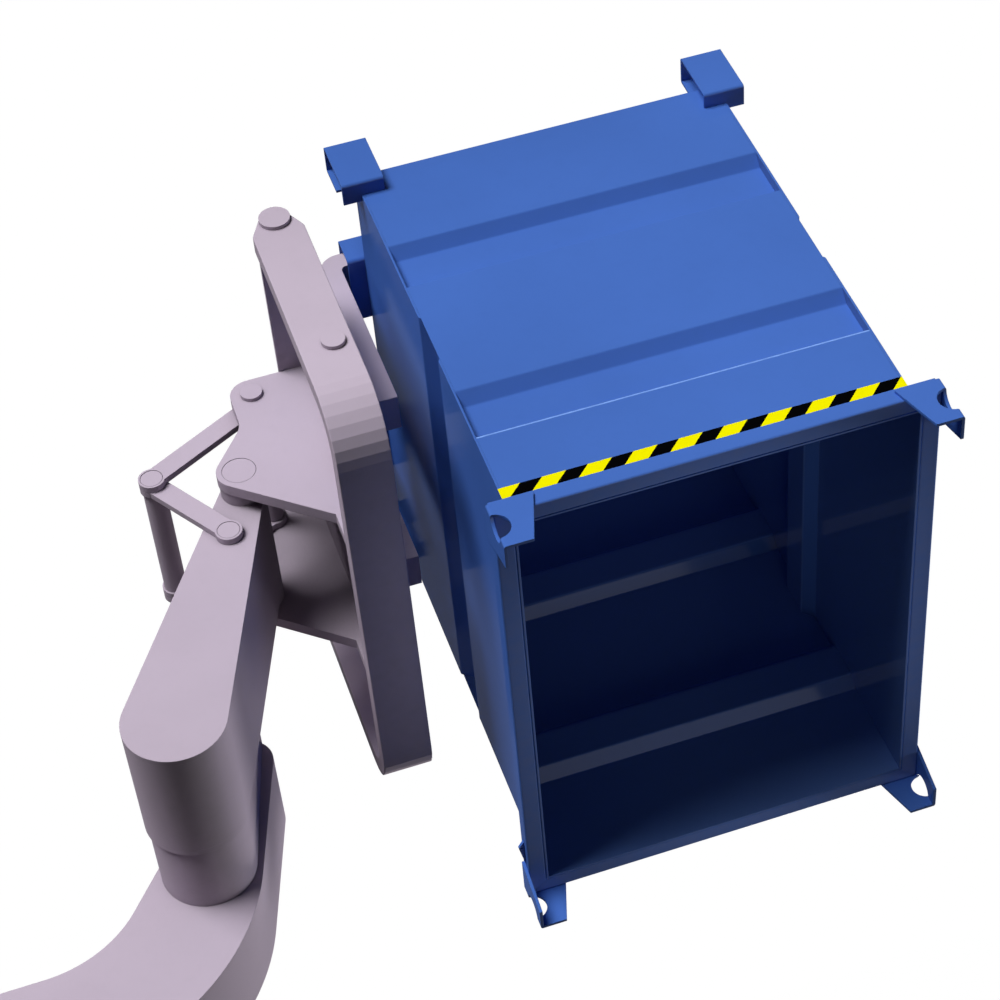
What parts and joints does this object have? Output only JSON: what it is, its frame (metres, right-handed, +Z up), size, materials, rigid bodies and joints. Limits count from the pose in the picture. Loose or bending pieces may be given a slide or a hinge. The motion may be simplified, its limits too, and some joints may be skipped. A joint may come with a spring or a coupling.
{
  "type": "rotating forklift bucket",
  "caption": "Open steel site bucket carried on forks; a hinged carriage with a pinned tilt linkage joins it to a stick and a gooseneck boom.",
  "frame": {"origin": "middle of the pivot bore at the machine end of the boom", "axes": "+X from the machine towards the bucket, +Y along every pin towards the bucket's taped side, +Z up"},
  "size_m": [1.956, 1.082, 1.321],
  "materials": {
    "bucket_paint": "gloss",
    "hazard_tape": "satin",
    "arm_paint": "gloss",
    "carriage_paint": "gloss",
    "link_paint": "gloss",
    "fork_paint": "gloss",
    "pin_steel": "satin",
    "bush_metal": "satin"
  },
  "bodies": {
    "boom": {"boom_box": "arm_paint", "boom_cheek_left": "arm_paint", "boom_cheek_right": "arm_paint", "elbow_bearing_tube": "arm_paint", "elbow_bush": "bush_metal", "machine_bearing_tube": "arm_paint", "machine_bush": "bush_metal"},
    "stick": {"elbow_boss": "arm_paint", "elbow_keeper": "arm_paint", "elbow_keeper_bolts": "pin_steel", "elbow_pin": "pin_steel", "stick_box": "arm_paint", "stick_cheek_left": "arm_paint", "stick_cheek_right": "arm_paint"},
    "carriage": {"carriage_back_plate": "carriage_paint", "carriage_cross_plate": "carriage_paint", "carriage_ring": "carriage_paint", "carriage_tie_rod": "pin_steel", "ear_left": "carriage_paint", "ear_right": "carriage_paint", "fork_shaft": "pin_steel", "link_pin": "pin_steel", "main_pin": "pin_steel", "main_spacer_left": "pin_steel", "main_spacer_right": "pin_steel"},
    "rocker": {"joint_shaft": "pin_steel", "rocker_link_left": "link_paint", "rocker_link_right": "link_paint", "rocker_pin": "pin_steel"},
    "coupler": {"coupler_link_left": "link_paint", "coupler_link_right": "link_paint"},
    "fork_left": {"fork_left": "fork_paint", "fork_hanger_left": "fork_paint"},
    "fork_right": {"fork_right": "fork_paint", "fork_hanger_right": "fork_paint"},
    "bucket": {"bucket_floor": "bucket_paint", "bucket_front_wall": "bucket_paint", "bucket_left_wall": "bucket_paint", "bucket_rear_wall": "bucket_paint", "bucket_right_wall": "bucket_paint", "chain_eye": "bucket_paint", "fork_pocket_left": "bucket_paint", "fork_pocket_right": "bucket_paint", "hazard_tape": "hazard_tape", "lifting_lug_front_left": "bucket_paint", "lifting_lug_front_right": "bucket_paint", "lifting_lug_rear_left": "bucket_paint", "lifting_lug_rear_right": "bucket_paint", "rim_tube_front": "bucket_paint", "rim_tube_left": "bucket_paint", "rim_tube_rear": "bucket_paint", "rim_tube_right": "bucket_paint", "stacking_foot_front_left": "bucket_paint", "stacking_foot_front_right": "bucket_paint", "stacking_foot_rear_left": "bucket_paint", "stacking_foot_rear_right": "bucket_paint"}
  },
  "joints": [
    {"name": "stick_swing", "type": "hinge", "parent": "boom", "child": "stick", "pos_m": [0.434, 0, -0.25], "axis": [0, 1, 0], "range_deg": [-45, 30]},
    {"name": "carriage_tilt", "type": "hinge", "parent": "stick", "child": "carriage", "pos_m": [0.687, 0.395, -0.756], "axis": [0, 1, 0], "range_deg": [-10, 45]},
    {"name": "rocker_swing", "type": "hinge", "parent": "stick", "child": "rocker", "pos_m": [0.635, 0.395, -0.651], "axis": [0, 1, 0], "range_deg": [-9, 36]},
    {"name": "coupler_swing", "type": "hinge", "parent": "rocker", "child": "coupler", "pos_m": [0.528, 0.395, -0.824], "axis": [0, 1, 0], "range_deg": [-9, 3]},
    {"name": "fork_left_shift", "type": "slide", "parent": "carriage", "child": "fork_left", "axis": [0, 1, 0], "range_m": [-0.025, 0.025]},
    {"name": "fork_right_shift", "type": "slide", "parent": "carriage", "child": "fork_right", "axis": [0, 1, 0], "range_m": [-0.025, 0.025]},
    {"name": "bucket_slide", "type": "slide", "parent": "carriage", "child": "bucket", "axis": [1, 0, 0], "range_m": [0, 0.85]}
  ],
  "couplings": [
    {"joint": "rocker_swing", "follows": "carriage_tilt", "ratio": 0.76077},
    {"joint": "coupler_swing", "follows": "carriage_tilt", "ratio": -0.17461}
  ]
}
